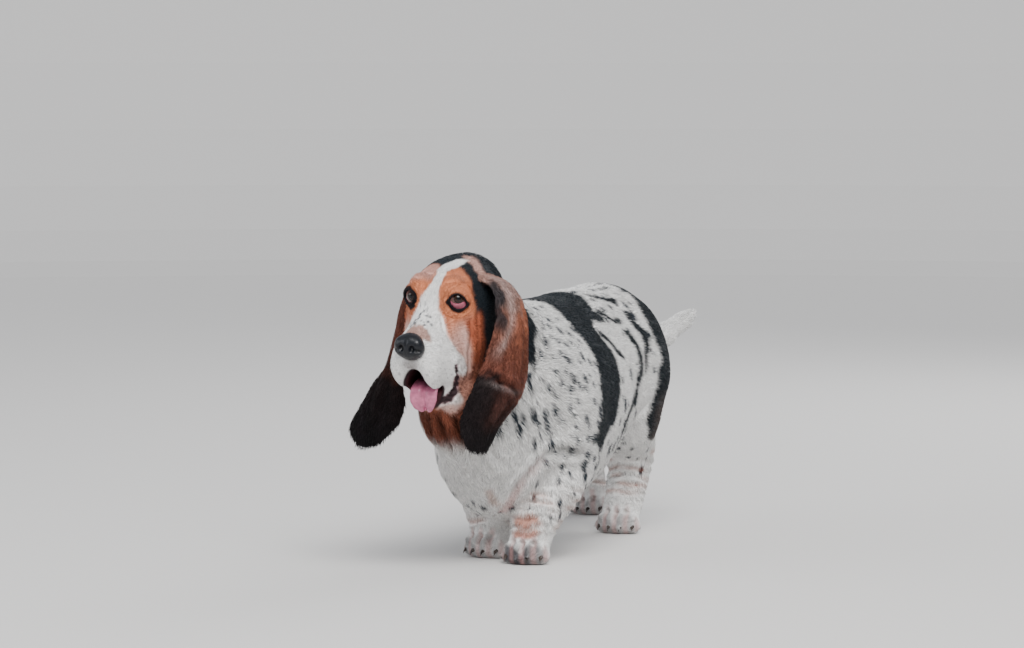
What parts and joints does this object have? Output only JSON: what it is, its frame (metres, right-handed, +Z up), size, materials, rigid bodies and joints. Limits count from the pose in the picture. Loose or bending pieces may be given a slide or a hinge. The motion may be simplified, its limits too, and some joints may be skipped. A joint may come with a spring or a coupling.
{
  "type": "basset hound",
  "caption": "Life-size basset hound walking, head turned a little to its right, tongue out and long ears swinging.",
  "frame": {"origin": "on the floor, under the middle of the bounding box", "axes": "+Z up, the dog faces -Y, its left side is at +X"},
  "size_m": [0.2992, 1.039, 0.4551],
  "materials": {
    "white_coat": "short smooth hair",
    "tan_coat": "short smooth hair",
    "ear_coat": "short smooth hair",
    "wet_black": "damp, pebbled",
    "eye": "wet gloss",
    "tongue": "wet"
  },
  "bodies": {
    "root": {"torso": "white_coat", "neck": "tan_coat", "head": "tan_coat", "lower_jaw": "white_coat", "nose": "wet_black", "tongue": "tongue", "eye_left": "eye", "eye_right": "eye", "ear_left": "ear_coat", "ear_right": "ear_coat", "foreleg_left": "white_coat", "forepaw_left": "white_coat", "foreleg_right": "white_coat", "forepaw_right": "white_coat", "hindleg_left": "white_coat", "hindpaw_left": "white_coat", "hindleg_right": "white_coat", "hindpaw_right": "white_coat", "tail": "white_coat"}
  },
  "joints": []
}
